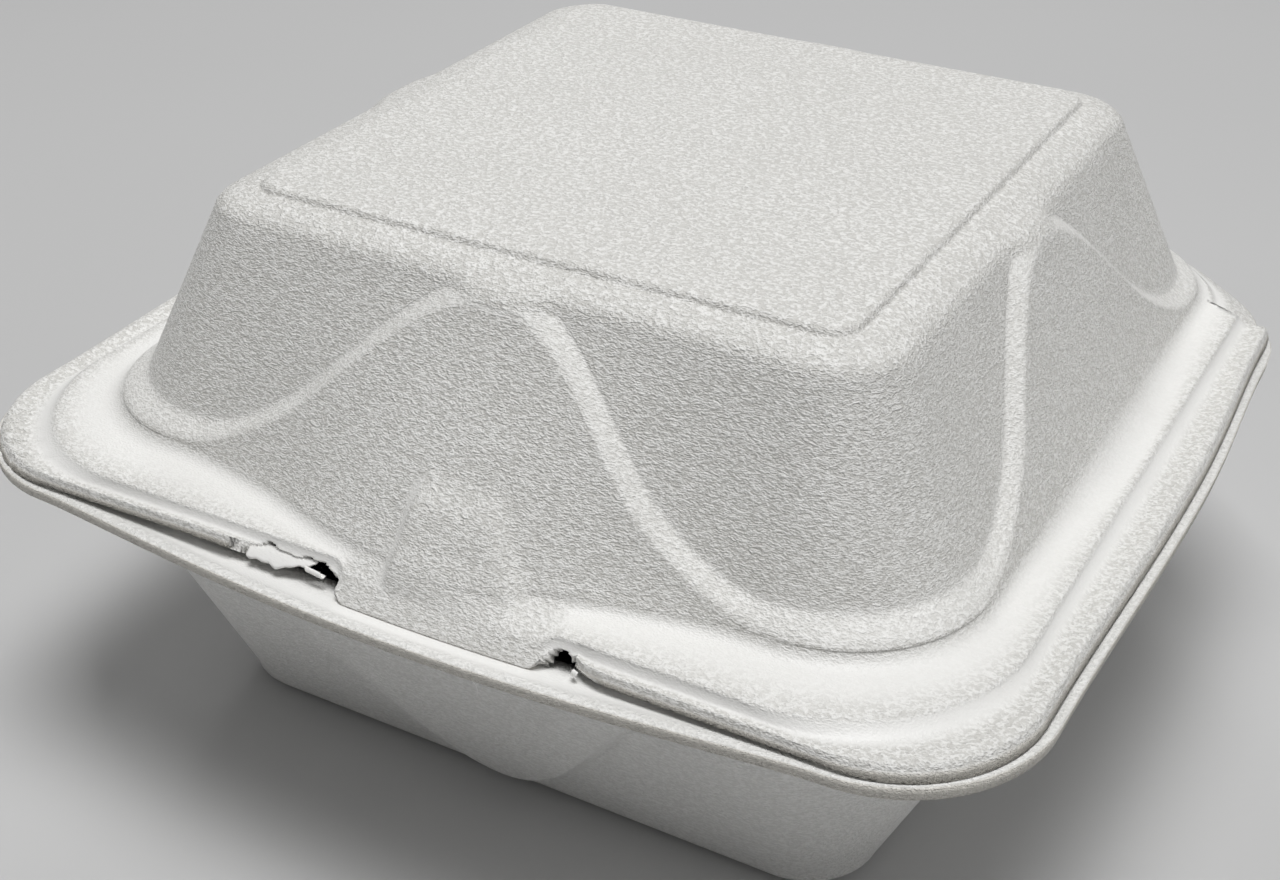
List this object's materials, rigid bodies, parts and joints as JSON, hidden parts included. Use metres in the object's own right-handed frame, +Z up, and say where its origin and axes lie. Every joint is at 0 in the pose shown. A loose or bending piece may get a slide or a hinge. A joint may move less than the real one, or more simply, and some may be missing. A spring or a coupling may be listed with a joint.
{
  "type": "foam clamshell container",
  "caption": "Square white foam take-away container: a flared tray with a domed lid on a creased hinge, wave-stepped walls, a sunken top panel and a torn front latch.",
  "frame": {"origin": "centre of the container's bounding box, on the plane that the tray stands on", "axes": "+Z up, -Y towards the latch at the front, +X to the right seen from the front"},
  "size_m": [0.151, 0.151, 0.076],
  "materials": {
    "tray_foam": "matte white foam sheet with fine cells",
    "lid_foam": "matte white foam sheet with fine cells"
  },
  "bodies": {
    "tray": {"tray": "tray_foam"},
    "lid": {"lid": "lid_foam"}
  },
  "joints": [
    {"name": "lid_hinge", "type": "hinge", "parent": "tray", "child": "lid", "pos_m": [0, 0.07565, 0.04473], "axis": [-1, 0, 0], "range_deg": [0, 180]}
  ]
}
